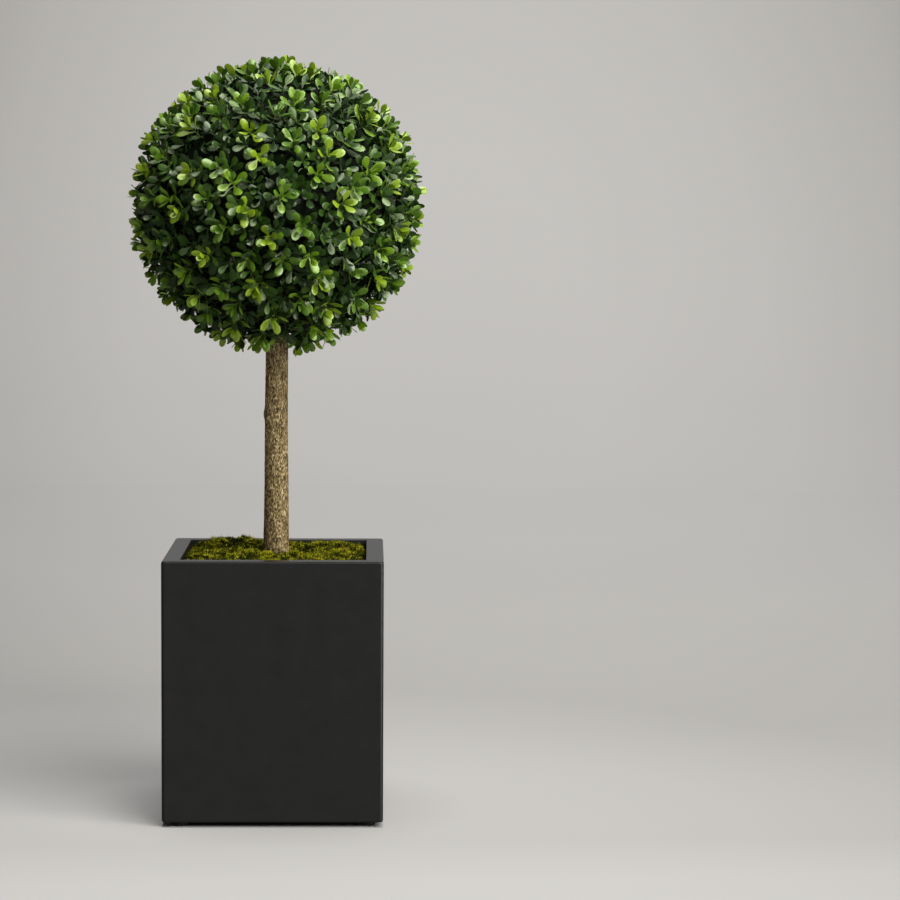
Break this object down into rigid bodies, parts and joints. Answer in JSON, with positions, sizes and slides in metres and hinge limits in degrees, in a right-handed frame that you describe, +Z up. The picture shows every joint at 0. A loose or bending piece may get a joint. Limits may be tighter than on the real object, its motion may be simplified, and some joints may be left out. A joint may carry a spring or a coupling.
{
  "type": "artificial box topiary ball in a square planter",
  "caption": "Artificial box topiary: a clipped ball of small glossy leaves on a bare stem, in a square matt black planter dressed with moss.",
  "frame": {"origin": "on the floor, under the middle of the planter", "axes": "+Z up along the trunk; -Y out of the planter's front face, +X to the right as seen from the front"},
  "size_m": [0.4849, 0.4858, 1.2294],
  "materials": {
    "planter": "matt black fibre-reinforced composite with softened arrises",
    "foot": "matt black round pad",
    "potting_fill": "dark filling, hidden under the moss",
    "moss": "dense olive-green moss tufts",
    "bark": "dry grey-brown bark, finely furrowed along the stem",
    "foliage": "small glossy box leaves, dark inside and yellow-green at the tips"
  },
  "bodies": {
    "root": {"planter": "planter", "foot_front_left": "foot", "foot_back_left": "foot", "foot_front_right": "foot", "foot_back_right": "foot", "potting_fill": "potting_fill", "moss_bed": "moss", "trunk": "bark", "foliage_ball": "foliage"}
  },
  "joints": []
}
